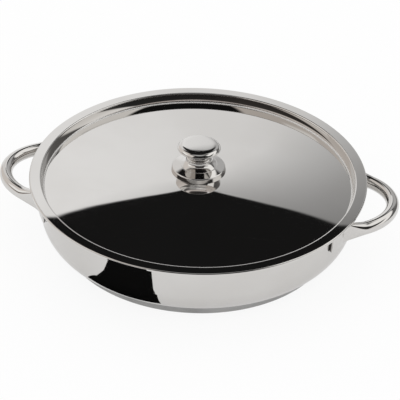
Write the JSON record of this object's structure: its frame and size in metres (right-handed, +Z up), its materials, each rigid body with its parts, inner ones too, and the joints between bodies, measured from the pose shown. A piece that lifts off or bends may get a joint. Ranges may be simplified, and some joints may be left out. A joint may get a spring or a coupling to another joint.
{
  "type": "round pan with lid",
  "caption": "Low round polished steel pan with loop handles welded to its wall, an encapsulated base and a flanged lid with a turned knob that lifts off.",
  "frame": {"origin": "on the pan's axis, on the surface that the pan stands on", "axes": "+X towards the right handle, +Y away from the viewer, +Z up out of the pan"},
  "size_m": [0.3558, 0.2976, 0.0945],
  "materials": {
    "body_steel": "mirror polished stainless sheet",
    "base_steel": "satin stainless cap, turned in rings",
    "core_aluminium": "plain rolled disc",
    "handle_steel": "mirror polished stainless tube",
    "lid_steel": "mirror polished stainless sheet",
    "knob_steel": "mirror polished stainless, turned",
    "fastener_steel": "plain bright steel"
  },
  "bodies": {
    "pan": {"pan_body": "body_steel", "base_core": "core_aluminium", "base_cap": "base_steel", "left_handle": "handle_steel", "right_handle": "handle_steel"},
    "lid": {"lid": "lid_steel", "knob_foot": "knob_steel", "knob_guard": "knob_steel", "knob_stem": "knob_steel", "knob_collar": "knob_steel", "knob_head": "knob_steel", "knob_stud": "fastener_steel", "knob_washer": "fastener_steel", "knob_screw": "fastener_steel"}
  },
  "joints": [
    {"name": "lid_lift", "type": "slide", "parent": "pan", "child": "lid", "axis": [0, 0, 1], "range_m": [0, 0.12]}
  ]
}
